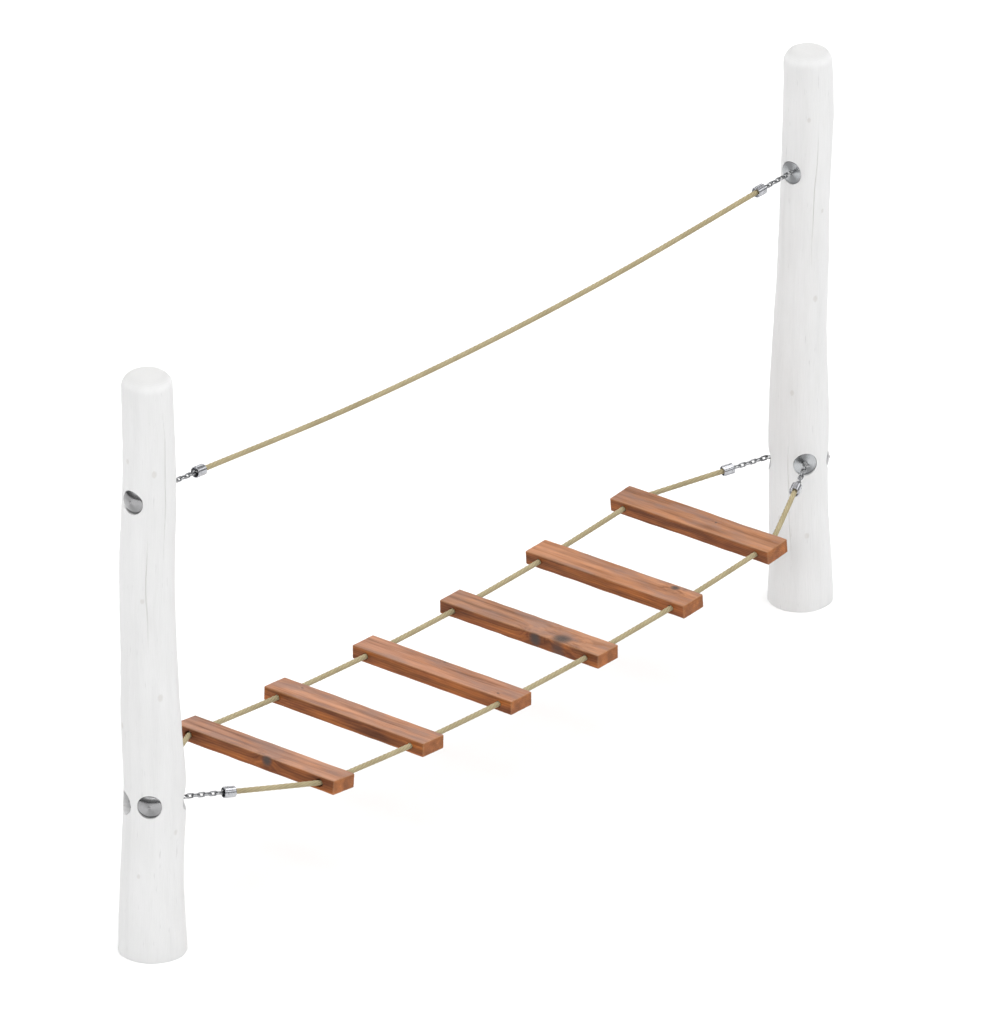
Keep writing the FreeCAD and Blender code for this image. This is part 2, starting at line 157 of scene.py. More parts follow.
def cut(obj, cutters):
    """Take the cutters' solids away from an object's mesh, and drop the cutters."""
    for cutter in cutters:
        modifier = obj.modifiers.new("cut", "BOOLEAN")
        modifier.operation = "DIFFERENCE"
        modifier.solver = "EXACT"
        modifier.object = cutter
    bpy.context.view_layer.update()
    graph = bpy.context.evaluated_depsgraph_get()
    mesh = bpy.data.meshes.new_from_object(obj.evaluated_get(graph))
    obj.modifiers.clear()
    old = obj.data
    obj.data = mesh
    bpy.data.meshes.remove(old)
    for cutter in cutters:
        data = cutter.data
        bpy.data.objects.remove(cutter)
        bpy.data.meshes.remove(data)


def lathe(name, profile, segments=96):
    """Turn (radius, height) points about Z. UVs run round and along the profile."""
    profile = np.array(profile, float)
    run = np.concatenate([[0], np.cumsum(np.linalg.norm(np.diff(profile, axis=0), axis=1))])
    turn = np.arange(segments) * 2 * math.pi / segments
    verts, rings = [], []
    for radius, height in profile:
        if radius < 1e-9:
            rings.append([len(verts)] * segments)
            verts.append((0, 0, height))
        else:
            rings.append(list(range(len(verts), len(verts) + segments)))
            verts += [(radius * math.cos(a), radius * math.sin(a), height) for a in turn]
    faces, uvs = [], []
    for low in range(len(rings) - 1):
        high = low + 1
        for k in range(segments):
            n = (k + 1) % segments
            ring = [(rings[low][k], (k, low)), (rings[low][n], (k + 1, low)),
                    (rings[high][n], (k + 1, high)), (rings[high][k], (k, high))]
            kept = [ring[0]] + [b for a, b in zip(ring, ring[1:]) if b[0] != a[0]]
            if kept[-1][0] == kept[0][0]:
                kept = kept[:-1]
            if len(kept) > 2:
                faces.append([v for v, _ in kept])
                uvs += [(at[0] / segments, run[at[1]] / 0.1) for _, at in kept]
    mesh = mesh_from(name, verts, faces)
    layer = mesh.uv_layers.new(name="turned")
    layer.data.foreach_set("uv", np.array(uvs, np.float32).ravel())
    return mesh


def waves(seed, count, low, high, size):
    """Random waves over two coordinates: (frequency along each, phase, strength)."""
    rng = np.random.default_rng(seed)
    first = rng.uniform(low[0], high[0], count)
    second = rng.uniform(low[1], high[1], count) * rng.choice([-1, 1], count)
    return first, second, rng.uniform(0, 2 * math.pi, count), rng.normal(0, size, count)


def wavy(u, v, bands):
    """Sum of those waves at each point."""
    out = np.zeros(np.broadcast(u, v).shape)
    for fu, fv, phase, size in zip(*bands):
        out += size * np.sin(fu * u + fv * v + phase)
    return out


# ---------------------------------------------------------------- material helpers

class Material:
    """A node material, built by name."""

    def __init__(self, name, **constants):
        self.material = bpy.data.materials.new(name)
        self.material.use_nodes = True
        self.tree = self.material.node_tree
        self.shader = self.tree.nodes["Principled BSDF"]
        for socket, value in constants.items():
            self.shader.inputs[socket.replace("_", " ")].default_value = value

    def add(self, kind, inputs=(), out=0, **settings):
        """Add a node and return one of its outputs. An input may be a value or an output."""
        node = self.tree.nodes.new("ShaderNode" + kind)
        for key, value in settings.items():
            setattr(node, key, value)
        for key, value in dict(inputs).items():
            if isinstance(value, bpy.types.NodeSocket):
                self.tree.links.new(value, node.inputs[key])
            else:
                node.inputs[key].default_value = value
        return node.outputs[out]

    def math(self, operation, a, b=0.0):
        return self.add("Math", {0: a, 1: b}, operation=operation)

    def mix(self, share, a, b, blend="MIX"):
        node = self.tree.nodes.new("ShaderNodeMix")
        node.data_type = "RGBA"
        node.blend_type = blend
        for socket, value in zip((node.inputs[0], node.inputs[6], node.inputs[7]), (share, a, b)):
            if isinstance(value, bpy.types.NodeSocket):
                self.tree.links.new(value, socket)
            else:
                socket.default_value = value
        return node.outputs[2]

    def ramp(self, value, stops):
        """Colour ramp. A stop is (place, grey or RGB)."""
        node = self.tree.nodes.new("ShaderNodeValToRGB")
        elements = node.color_ramp.elements
        while len(elements) < len(stops):
            elements.new(0.5)
        for element, (place, colour) in zip(elements, stops):
            element.position = place
            rgb = colour if isinstance(colour, tuple) else (colour,) * 3
            element.color = (*rgb, 1.0)
        self.tree.links.new(value, node.inputs[0])
        return node.outputs[0]

    def stretched(self, vector, scale):
        return self.add("Mapping", {"Vector": vector, "Scale": scale})

    def noise(self, vector, scale, detail=3.0, roughness=0.55):
        return self.add("TexNoise", {"Vector": vector, "Scale": scale, "Detail": detail,
                                     "Roughness": roughness})

    def attribute(self, name, out=1):
        """Attribute output: 1 is the vector and 2 the number."""
        return self.add("Attribute", out=out, attribute_name=name)

    def bump(self, height, distance, normal=None, strength=1.0):
        inputs = {"Height": height, "Distance": distance, "Strength": strength}
        if normal is not None:
            inputs["Normal"] = normal
        return self.add("Bump", inputs)

    def finish(self, colour=None, roughness=None, normal=None):
        """Link the results to the shader."""
        for socket, value in (("Base Color", colour), ("Roughness", roughness),
                              ("Normal", normal)):
            if value is not None:
                self.tree.links.new(value, self.shader.inputs[socket])
        return self.material


def rgb(red, green, blue):
    return (red, green, blue, 1.0)


# ---------------------------------------------------------------- materials
YARN_PITCH = 0.0052
YARN_SLANT = 2.3
LOG_RING_WIDTH = 0.0042
PLANK_RING_WIDTH = 0.0062


def rope_material():
    """Laid synthetic rope: six strands of fine twisted yarns, with painted shade in the grooves
    between strands.
    """
    m = Material("laid_rope", Sheen_Weight=0.08, Sheen_Roughness=0.5, Specular_IOR_Level=0.15)
    uv = m.add("UVMap", uv_map="rope")
    parts = m.tree.nodes.new("ShaderNodeSeparateXYZ")
    m.tree.links.new(uv, parts.inputs[0])
    along, across = parts.outputs[0], parts.outputs[1]
    position = m.add("TexCoord", out=3)
    wobble = m.math("MULTIPLY", m.noise(position, 90.0), 0.5)
    phase = m.math("ADD", m.math("MULTIPLY", along, 1 / YARN_PITCH),
                   m.math("ADD", m.math("MULTIPLY", across, YARN_SLANT), wobble))
    yarn = m.math("SINE", m.math("MULTIPLY", phase, 2 * math.pi))
    yarn = m.math("MULTIPLY_ADD", yarn, 0.5)
    yarn.node.inputs[2].default_value = 0.5
    fibre = m.noise(m.stretched(uv, (260.0, 3.0, 1.0)), 4.0, 4.0, 0.7)
    in_strand = m.math("ABSOLUTE", m.math("SUBTRACT", m.math("FRACT", across), 0.5))
    # Painted shade: the colour is darkened towards the grooves between the strands.
    groove_shade = m.ramp(in_strand, [(0.0, 1.0), (0.36, 0.98), (0.46, 0.80), (0.5, 0.62)])
    patches = m.noise(position, 14.0, 3.0)
    colour = m.ramp(patches, [(0.25, (0.370, 0.308, 0.180)), (0.5, (0.425, 0.358, 0.212)),
                              (0.78, (0.50, 0.425, 0.265))])
    colour = m.mix(0.75, colour, m.ramp(yarn, [(0.0, 0.70), (0.55, 1.0)]), "MULTIPLY")
    colour = m.mix(0.8, colour, m.ramp(fibre, [(0.25, 0.80), (0.7, 1.08)]), "MULTIPLY")
    colour = m.mix(1.0, colour, groove_shade, "MULTIPLY")
    normal = m.bump(yarn, 0.00035)
    normal = m.bump(fibre, 0.00015, normal)
    rough = m.ramp(fibre, [(0.2, 0.92), (0.8, 0.72)])
    return m.finish(colour, rough, normal)


def log_material():
    """Debarked log under a thin pale wash: upright fibre, knots, checks, and end grain on the top
    set darker as painted shade.
    """
    m = Material("washed_log", Specular_IOR_Level=0.2)
    place = m.attribute("grain")
    knot, check = m.attribute("knot", 2), m.attribute("check", 2)
    end, reach = m.attribute("end", 2), m.attribute("reach", 2)
    fibre = m.noise(m.stretched(place, (1.0, 1.0, 0.03)), 420.0, 4.0, 0.65)
    streak = m.noise(m.stretched(place, (1.0, 1.0, 0.07)), 34.0, 3.0, 0.6)
    cloud = m.noise(m.stretched(place, (1.0, 1.0, 0.5)), 7.0, 2.0)
    fleck = m.noise(m.stretched(place, (1.0, 1.0, 0.12)), 160.0, 2.0, 0.5)
    colour = m.ramp(cloud, [(0.3, (0.728, 0.728, 0.726)), (0.7, (0.762, 0.762, 0.762))])
    colour = m.mix(0.65, colour, m.ramp(streak, [(0.28, 0.94), (0.5, 1.0), (0.75, 1.02)]),
                   "MULTIPLY")
    colour = m.mix(0.5, colour, m.ramp(fibre, [(0.25, 0.93), (0.6, 1.0)]), "MULTIPLY")
    colour = m.mix(0.7, colour, m.ramp(fleck, [(0.22, 0.82), (0.32, 1.0)]), "MULTIPLY")
    ragged = m.math("ADD", knot, m.math("MULTIPLY", m.math("SUBTRACT", fleck, 0.5), 0.5))
    colour = m.mix(m.ramp(ragged, [(0.35, 0.0), (0.75, 0.32)]), colour, rgb(0.50, 0.47, 0.43))
    colour = m.mix(m.ramp(check, [(0.15, 0.0), (0.8, 0.40)]), colour, rgb(0.42, 0.40, 0.37))
    rings = m.math("ADD", m.math("MULTIPLY", reach, 1 / LOG_RING_WIDTH),
                   m.math("MULTIPLY", m.noise(place, 18.0, 2.0), 2.2))
    ring = m.math("FRACT", rings)
    # End grain on the top: real rings and pores, set darker than the sides as painted shade.
    end_grain_and_shade = m.ramp(ring, [(0.0, (0.585, 0.583, 0.578)), (0.72, (0.615, 0.614, 0.610)),
                               (0.93, (0.545, 0.541, 0.533)), (1.0, (0.585, 0.583, 0.578))])
    pores = m.noise(place, 900.0, 2.0, 0.6)
    end_grain_and_shade = m.mix(0.6, end_grain_and_shade, m.ramp(pores, [(0.3, 0.92), (0.6, 1.02)]), "MULTIPLY")
    colour = m.mix(end, colour, end_grain_and_shade)
    height = m.math("ADD", m.math("MULTIPLY", fibre, 0.7), m.math("MULTIPLY", fleck, 0.6))
    normal = m.bump(height, 0.0005)
    normal = m.bump(streak, 0.0012, normal, 0.6)
    rough = m.ramp(fibre, [(0.2, 0.72), (0.8, 0.52)])
    return m.finish(colour, rough, normal)


def plank_material():
    """Oiled red-brown hardwood: growth rings cut lengthways, pores, knots, worn edges, and tops
    lightened as painted light.
    """
    m = Material("oiled_hardwood", Specular_IOR_Level=0.18)
    place = m.attribute("grain")
    knot, wear = m.attribute("knot", 2), m.attribute("wear", 2)
    up, end = m.attribute("up", 2), m.attribute("end", 2)
    parts = m.tree.nodes.new("ShaderNodeSeparateXYZ")
    bent = m.noise(m.stretched(place, (1.0, 0.10, 1.0)), 16.0, 2.0, 0.5)
    m.tree.links.new(place, parts.inputs[0])
    radius = m.math("SQRT", m.math("ADD", m.math("POWER", parts.outputs[0], 2.0),
                                   m.math("POWER", parts.outputs[2], 2.0)))
    phase = m.math("ADD", m.math("MULTIPLY", radius, 1 / PLANK_RING_WIDTH),
                   m.math("MULTIPLY", bent, 3.4))
    ring = m.math("FRACT", phase)
    band = m.noise(m.stretched(place, (1.0, 0.06, 1.0)), 46.0, 3.0, 0.6)
    fine = m.noise(m.stretched(place, (1.0, 0.02, 1.0)), 520.0, 3.0, 0.6)
    pores = m.noise(m.stretched(place, (1.0, 0.07, 1.0)), 900.0, 2.0, 0.5)
    colour = m.ramp(ring, [(0.0, (0.205, 0.062, 0.018)), (0.35, (0.240, 0.075, 0.021)),
                           (0.75, (0.272, 0.087, 0.025)), (0.93, (0.180, 0.053, 0.016)),
                           (1.0, (0.205, 0.062, 0.018))])
    cloud = m.noise(m.stretched(place, (1.0, 0.16, 1.0)), 30.0, 3.0, 0.6)
    shade = m.ramp(cloud, [(0.36, (0.62, 0.58, 0.62)), (0.50, (0.98, 0.98, 1.0)),
                           (0.64, (1.34, 1.36, 1.12))])
    colour = m.mix(1.0, colour, shade, "MULTIPLY")
    colour = m.mix(0.75, colour, m.ramp(band, [(0.34, 0.55), (0.5, 0.97), (0.66, 1.50)]),
                   "MULTIPLY")
    colour = m.mix(0.6, colour, m.ramp(fine, [(0.3, 0.78), (0.65, 1.10)]), "MULTIPLY")
    colour = m.mix(0.8, colour, m.ramp(pores, [(0.24, 0.45), (0.36, 1.0)]), "MULTIPLY")
    ends = m.mix(0.5, m.mix(1.0, colour, rgb(1.30, 1.35, 1.35), "MULTIPLY"),
                 m.ramp(m.noise(place, 700.0, 2.0), [(0.3, (0.18, 0.060, 0.017)),
                                                     (0.6, (0.33, 0.120, 0.036))]))
    colour = m.mix(end, colour, ends)
    # Painted light: the tops are made lighter than the sides, in streaks, as if lit from above.
    top_light_share = m.math("MULTIPLY", up, m.ramp(band, [(0.34, 0.30), (0.62, 1.0)]))
    painted_top_light = m.mix(1.0, rgb(0.55, 0.305, 0.190), m.attribute("tone"), "MULTIPLY")
    colour = m.mix(m.math("MULTIPLY", top_light_share, 0.60), colour, painted_top_light)
    patch = m.noise(m.stretched(place, (1.0, 0.3, 1.0)), 22.0, 3.0, 0.6)
    patch = m.math("MULTIPLY", m.ramp(patch, [(0.46, 0.0), (0.62, 0.55)]), up)
    colour = m.mix(patch, colour, rgb(0.235, 0.150, 0.125))
    colour = m.mix(m.math("MULTIPLY", wear, m.ramp(fine, [(0.3, 0.15), (0.7, 0.6)])), colour,
                   rgb(0.40, 0.22, 0.12))
    ragged = m.math("ADD", knot, m.math("MULTIPLY", m.math("SUBTRACT", band, 0.5), 0.35))
    colour = m.mix(m.ramp(ragged, [(0.20, 0.0), (0.60, 0.62), (1.0, 0.92)]), colour,
                   rgb(0.060, 0.048, 0.044))
    height = m.math("ADD", m.math("MULTIPLY", fine, 0.5),
                    m.math("ADD", m.math("MULTIPLY", band, 0.5),
                           m.math("MULTIPLY", pores, 0.6)))
    normal = m.bump(height, 0.0004)
    normal = m.bump(m.ramp(ring, [(0.0, 0.3), (0.8, 1.0), (0.95, 0.2), (1.0, 0.3)]), 0.0002,
                    normal)
    rough = m.ramp(fine, [(0.2, 0.50), (0.8, 0.36)])
    return m.finish(colour, rough, normal)


def turned_material(name, colour, roughness, lines, mark, contrast, highlight_sectors):
    """Turned or spun metal: marks run round, read from the lathe's UVs, with painted highlight
    sectors round the disc.
    """
    m = Material(name, Metallic=1.0)
    uv = m.add("UVMap", uv_map="turned")
    rings = m.noise(m.stretched(uv, (1.6, lines, 1.0)), 1.0, 4.0, 0.7)
    fine = m.noise(m.stretched(uv, (9.0, lines * 4, 1.0)), 1.0, 3.0, 0.6)
    smear = m.noise(m.add("TexCoord", out=3), 60.0, 3.0)
    light = m.ramp(rings, [(0.3, 1 - contrast), (0.7, 1 + contrast * 0.4)])
    base = m.mix(1.0, rgb(*colour), light, "MULTIPLY")
    parts = m.tree.nodes.new("ShaderNodeSeparateXYZ")
    m.tree.links.new(uv, parts.inputs[0])
    # Painted highlight: light and dark sectors round the disc stand in for the reflection of spun
    # metal.
    swing = m.math("ADD", m.math("MULTIPLY", parts.outputs[0], 4 * math.pi),
                   m.math("MULTIPLY", smear, 1.6))
    sector = m.math("ADD", m.math("MULTIPLY", m.math("SINE", swing), 0.5), 0.5)
    base = m.mix(1.0, base, m.ramp(sector, [(0.1, 1 - highlight_sectors), (0.9, 1 + highlight_sectors * 0.5)]),
                 "MULTIPLY")
    base = m.mix(0.5, base, m.ramp(smear, [(0.3, 0.93), (0.7, 1.03)]), "MULTIPLY")
    rough = m.math("MULTIPLY", m.ramp(fine, [(0.2, 0.75), (0.8, 1.2)]), roughness)
    rough = m.math("ADD", rough, m.math("MULTIPLY", m.ramp(smear, [(0.4, 0.0), (0.8, 0.3)]),
                                        roughness))
    normal = m.bump(m.math("ADD", rings, m.math("MULTIPLY", fine, 0.4)), mark)
    return m.finish(base, rough, normal)


def cast_metal_material(name, colour, roughness, spangle, scale, mark):
    """Plain or zinc-coated metal with a fine mottled surface, with no UVs."""
    m = Material(name, Metallic=1.0)
    place = m.add("TexCoord", out=3)
    cells = m.add("TexVoronoi", {"Vector": place, "Scale": scale}, out=1)
    tone = m.add("SeparateColor", {0: cells})
    mottle = m.noise(place, scale * 0.5, 4.0, 0.65)
    grime = m.noise(place, scale * 0.12, 3.0, 0.6)
    base = m.mix(spangle, rgb(*colour), m.ramp(tone, [(0.0, 0.55), (1.0, 1.3)]), "MULTIPLY")
    base = m.mix(0.7, base, m.ramp(mottle, [(0.3, 0.78), (0.7, 1.12)]), "MULTIPLY")
    base = m.mix(0.5, base, m.ramp(grime, [(0.35, 0.72), (0.6, 1.0)]), "MULTIPLY")
    rough = m.math("MULTIPLY", m.ramp(mottle, [(0.25, 1.3), (0.75, 0.8)]), roughness)
    normal = m.bump(mottle, mark)
    return m.finish(base, rough, normal)


ROPE = rope_material()
LOG = log_material()
PLANK = plank_material()
POLISHED = turned_material("polished_cap", (0.31, 0.31, 0.315), 0.15, 26.0, 0.00006, 0.10, 0.22)
SPUN = turned_material("spun_plate", (0.38, 0.39, 0.40), 0.22, 60.0, 0.00012, 0.22, 0.45)
SATIN = cast_metal_material("satin_sleeve", (0.50, 0.505, 0.53), 0.22, 0.05, 300.0, 0.00003)
ZINC = cast_metal_material("zinc_chain", (0.36, 0.365, 0.375), 0.26, 0.5, 420.0, 0.00012)
BOLT = cast_metal_material("plain_bolt", (0.42, 0.425, 0.43), 0.26, 0.15, 700.0, 0.00005)


# ---------------------------------------------------------------- ropes
STRANDS = 6
STRAND_LAY = 0.112
STRAND_BULGE = 0.0036
RING_STEP = 0.003
RING_POINTS = 54


def lobed_radius(angle):
    """Outer radius of a rope of six soft strands, at an angle round it."""
    sector = 2 * math.pi / STRANDS
    within = (angle % sector) - sector / 2
    centre = ROPE_DIAMETER / 2 - STRAND_BULGE
    return centre * np.cos(within) + np.sqrt(STRAND_BULGE ** 2 - (centre * np.sin(within)) ** 2)


def evenly_spaced(line, step):
    along = np.concatenate([[0], np.cumsum(np.linalg.norm(np.diff(line, axis=0), axis=1))])
    at = np.linspace(0, along[-1], int(round(along[-1] / step)) + 1)
    return np.stack([np.interp(at, along, line[:, k]) for k in range(3)], axis=1), at


def rope_mesh(name, line):
    """Twisted strands swept along a line, with UVs along the rope and across each strand."""
    centres, at = evenly_spaced(line, RING_STEP)
    tangents = np.gradient(centres, axis=0)
    tangents /= np.linalg.norm(tangents, axis=1)[:, None]
    side = np.cross(tangents, (0.0, 0.0, 1.0))
    side /= np.linalg.norm(side, axis=1)[:, None]
    up = np.cross(side, tangents)
    own = np.arange(RING_POINTS) * 2 * math.pi / RING_POINTS
    radius = lobed_radius(own)
    angle = own[None, :] + (at * 2 * math.pi / STRAND_LAY)[:, None]
    ring = (np.cos(angle)[:, :, None] * side[:, None, :]
            + np.sin(angle)[:, :, None] * up[:, None, :]) * radius[None, :, None]
    points = (centres[:, None, :] + ring).reshape(-1, 3)
    faces, uvs = [], []
    for row in range(len(centres) - 1):
        for k in range(RING_POINTS):
            n = (k + 1) % RING_POINTS
            base, above = row * RING_POINTS, (row + 1) * RING_POINTS
            faces.append((base + k, base + n, above + n, above + k))
            across = (k * STRANDS / RING_POINTS, (k + 1) * STRANDS / RING_POINTS)
            uvs += [(at[row], across[0]), (at[row], across[1]),
                    (at[row + 1], across[1]), (at[row + 1], across[0])]
    last = (len(centres) - 1) * RING_POINTS
    faces += [tuple(range(RING_POINTS))[::-1], tuple(range(last, last + RING_POINTS))]
    uvs += [(0.0, 0.5)] * (2 * RING_POINTS)
    mesh = mesh_from(name, points, faces)
    layer = mesh.uv_layers.new(name="rope")
    layer.data.foreach_set("uv", np.array(uvs, np.float32).ravel())
    return mesh


def make_rope(name, route, body):
    line = route_line(route)
    mesh = rope_mesh(name + "_strands", line)
    mesh.materials.append(ROPE)
    rope = add_object(name + "_strands", mesh)
    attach(rope, body)
    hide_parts(name)


make_rope("back_deck_rope", BACK_DECK_ROUTE, "deck")
make_rope("front_deck_rope", FRONT_DECK_ROUTE, "deck")
make_rope("hand_rope", HAND_ROUTE, "hand_line")


# ---------------------------------------------------------------- round plates and caps

def disc_frame(node, towards):
    """Centre and axis of a round flat CAD node. The axis points away from a point."""
    points = positions(NODES[node].data)
    middle = points.mean(axis=0)
    axis = np.linalg.svd(points - middle, full_matrices=False)[2][2]
    if axis @ (middle - np.array(towards)) < 0:
        axis = -axis
    heights = (points - middle) @ axis
    flat = points - np.outer(heights, axis)
    reach = np.linalg.norm(flat - middle, axis=1)
    rim = flat[reach > reach.max() * 0.97]
    basis = np.linalg.svd(np.outer(axis, axis))[0][:, 1:]
    local = (rim - middle) @ basis
    fit = np.linalg.lstsq(np.c_[2 * local, np.ones(len(local))], (local ** 2).sum(1),
                          rcond=None)[0]
    centre = middle + basis @ fit[:2]
    radius = math.sqrt(fit[2] + fit[0] ** 2 + fit[1] ** 2)
    return Vector(centre), Vector(axis), heights.min(), heights.max(), radius


def stand_on(obj, centre, axis, height):
    """Move a lathe's mesh so that its Z axis lies along an axis, from a height on it."""
    turn = axis.to_track_quat("Z", "Y").to_matrix().to_4x4()
    obj.data.transform(Matrix.Translation(centre + axis * height) @ turn)


def plate_profile(radius, thickness):
    """Spun disc: a rolled rim, a shallow dish and a raised middle."""
    r, t = radius, thickness
    return [(0, 0), (r - 0.0006, 0), (r - 0.0001, 0.0005), (r, 0.0011), (r - 0.0001, t - 0.0009),
            (r - 0.0005, t - 0.0003), (r - 0.0013, t), (r - 0.0024, t - 0.0001),
            (r - 0.0034, t - 0.0005), (r - 0.0080, t - 0.0007), (r * 0.55, t - 0.0006),
            (r * 0.36, t - 0.0003), (r * 0.30, t), (r * 0.26, t), (0, t)]


def cap_profile(radius, height):
    """Domed cap: a rolled rim, a spherical crown and a small turned button."""
    rim, button, rise = 0.0025, 0.0045, 0.0012
    crown = height - rise
    sag = crown - rim
    ball = (radius ** 2 + sag ** 2) / (2 * sag)
    out = [(0, 0.0004), (radius - 0.0012, 0.0004), (radius - 0.0004, 0), (radius, 0.0007),
           (radius, rim - 0.0008), (radius - 0.0004, rim - 0.0001)]
    for r in np.linspace(radius - 0.0014, button + 0.0009, 22):
        out.append((float(r), crown - ball + math.sqrt(ball ** 2 - r ** 2)))
    out += [(button + 0.0003, crown - 0.0001), (button, crown + 0.0002),
            (button - 0.0001, height - 0.0004), (button - 0.0006, height), (0.0014, height),
            (0.0009, height - 0.0005), (0, height - 0.0005)]
    return out


def make_disc(node, name, towards, profile, material):
    centre, axis, low, high, radius = disc_frame(node, towards)
    disc = add_object(name, lathe(name, profile(radius, high - low), DISC_SEGMENTS))
    stand_on(disc, centre, axis, low)
    disc.data.materials.append(material)
    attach(disc, "root")
    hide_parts(node)
    return centre + axis * low, axis


BOLT_PLACES = ("back", "front", "hand")
DISC_SEGMENTS = 128
SEAT_RADIUS = 0.036


def make_discs(side):
    """The six round pieces on one post. Returns where the post's flat seats lie."""
    low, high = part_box(side + "_post")
    seats = []
    for place in BOLT_PLACES:
        plate, cap = "%s_%s_eye_plate" % (side, place), "%s_%s_bolt_cap" % (side, place)
        height = sum((corner.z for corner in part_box(plate)), 0.0) / 2
        trunk = ((low.x + high.x) / 2, (low.y + high.y) / 2, height)
        seats.append(make_disc(plate, plate + "_spun", trunk, plate_profile, SPUN))
        seats.append(make_disc(cap, cap + "_dome", trunk, cap_profile, POLISHED))
    return seats


SEATS = {side: make_discs(side) for side in ("left", "right")}


# ---------------------------------------------------------------- log posts
LOG_STEPS = 288
LOG_ROW = 0.006
TOP_ROUNDING = 0.04
TOP_ROWS = 15
FLAT_TOP_SHARES = (0.88, 0.74, 0.6, 0.46, 0.32, 0.16)
FIT_HEIGHTS = 90
FIT_TURNS = 96
CLEAR_OF_SEAT = 0.004
BOLT_HOLE_RADIUS = 0.0053
BOLT_HOLE_DEPTH = 0.03
SEAT_CUT_HEIGHT = 0.06
SEAT_CUT_DRAFT = 0.0006
SKIN_DEPTH = 0.004
LEFT_GRAIN_SHIFT = 5.0
LOG_EDGE_ANGLE = 38
# Knots as (turn in degrees, height, radius), and drying checks as (turn, from, to, width).
LOG_KNOTS = {
    "left": [(-128, 1.52, 0.010), (-150, 1.13, 0.008), (-118, 0.83, 0.011), (-96, 0.40, 0.009),
             (-165, 0.27, 0.007), (10, 0.95, 0.012), (62, 1.33, 0.009), (88, 0.36, 0.011),
             (150, 0.72, 0.010), (170, 1.55, 0.008)],
    "right": [(-140, 1.60, 0.008), (-112, 1.02, 0.010), (-155, 0.72, 0.009), (-98, 1.30, 0.007),
              (-128, 0.25, 0.010), (15, 1.22, 0.010), (48, 0.62, 0.012), (95, 1.50, 0.009),
              (135, 0.95, 0.010), (178, 0.30, 0.008)],
}
LOG_CHECKS = {
    "left": [(-140, 0.95, 1.35, 0.0016), (-104, 1.22, 1.72, 0.0013), (20, 0.10, 0.80, 0.0022),
             (75, 0.75, 1.60, 0.0018), (128, 0.20, 0.62, 0.0015)],
    "right": [(-120, 1.10, 1.62, 0.0014), (-160, 0.15, 0.58, 0.0015), (5, 0.70, 1.45, 0.0020),
              (60, 0.20, 0.55, 0.0016), (110, 1.05, 1.70, 0.0018)],
}


def ring_fits(node, seat_heights):
    """Centre and radius of the CAD log at many heights, clear of its seats and holes."""
    mesh = NODES[node].data
    tree = BVHTree.FromPolygons([v.co for v in mesh.vertices],
                                [tuple(p.vertices) for p in mesh.polygons])
    low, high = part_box(node)
    centre = np.array([(low.x + high.x) / 2, (low.y + high.y) / 2])
    rows = []
    for height in np.linspace(low.z + 0.001, high.z - TOP_ROUNDING - 0.002,
                              FIT_HEIGHTS):
        if min(abs(height - seat) for seat in seat_heights) < SEAT_RADIUS + CLEAR_OF_SEAT:
            continue
        hits = []
        for turn in np.arange(FIT_TURNS) * 2 * math.pi / FIT_TURNS:
            out = Vector((math.cos(turn), math.sin(turn), 0))
            start = Vector((*centre, height)) + out * 0.3
            place = tree.ray_cast(start, -out, 0.3)[0]
            if place is not None:
                hits.append(place[:2])
        hits = np.array(hits)
        fit = np.linalg.lstsq(np.c_[2 * hits, np.ones(len(hits))], (hits ** 2).sum(1),
                              rcond=None)[0]
        rows.append((height, fit[0], fit[1], math.sqrt(fit[2] + fit[0] ** 2 + fit[1] ** 2)))
    return np.array(rows)


def around(turn, centre):
    """Signed difference between angles, in radians."""
    return (turn - math.radians(centre) + math.pi) % (2 * math.pi) - math.pi


def log_relief(side, turn, height, radius):
    """How far the wood stands out from a plain round log, with its knots and checks."""
    seed = {"left": 11, "right": 29}[side]
    lumps = waves(seed, 16, (1, 3), (5, 14), 0.00042)
    flutes = waves(seed + 1, 22, (5, 3), (7, 15), 0.00016)
    fibres = waves(seed + 2, 44, (5, 18), (14, 70), 0.00005)
    total = 0.0
    for bands in (lumps, flutes, fibres):
        total = total + wavy(turn, height, (np.round(bands[0]), *bands[1:]))
    knot = np.zeros_like(turn)
    for angle, at, size in LOG_KNOTS[side]:
        across = around(turn, angle) * radius
        along = (height - at) * 0.72
        away = np.sqrt(across ** 2 + along ** 2) / size
        knot = np.maximum(knot, np.clip(1.25 - away, 0, 1))
        total = total + 0.0016 * np.exp(-(away / 1.9) ** 2) - 0.0013 * np.exp(-(away / 0.6) ** 2)
    check = np.zeros_like(turn)
    for index, (angle, low, high, width) in enumerate(LOG_CHECKS[side]):
        share = np.clip((height - low) / (high - low), 0, 1)
        wander = 0.0035 * np.sin(9 * height + index) + 0.0012 * np.sin(31 * height + 2 * index)
        across = around(turn, angle) * radius - wander
        open_here = np.sin(math.pi * share) ** 0.6 * (share > 0) * (share < 1)
        line = np.exp(-(across / (width * (0.35 + 0.65 * open_here))) ** 2) * open_here
        check = np.maximum(check, line)
        total = total - 0.0022 * line
    return total, knot, check


def seat_cutters(name, side):
    """Flat-bottomed recesses and bolt holes, as solids to take out of the post."""
    cutters = []
    for index, (place, axis) in enumerate(SEATS[side]):
        profile = [(0, -BOLT_HOLE_DEPTH), (BOLT_HOLE_RADIUS, -BOLT_HOLE_DEPTH),
                   (BOLT_HOLE_RADIUS, 0), (SEAT_RADIUS, 0),
                   (SEAT_RADIUS + SEAT_CUT_DRAFT, SEAT_CUT_HEIGHT), (0, SEAT_CUT_HEIGHT)]
        cutter = add_object("%s_cut_%d" % (name, index), lathe("cut", profile, 96))
        stand_on(cutter, place, axis, 0.0)
        cutters.append(cutter)
    return cutters


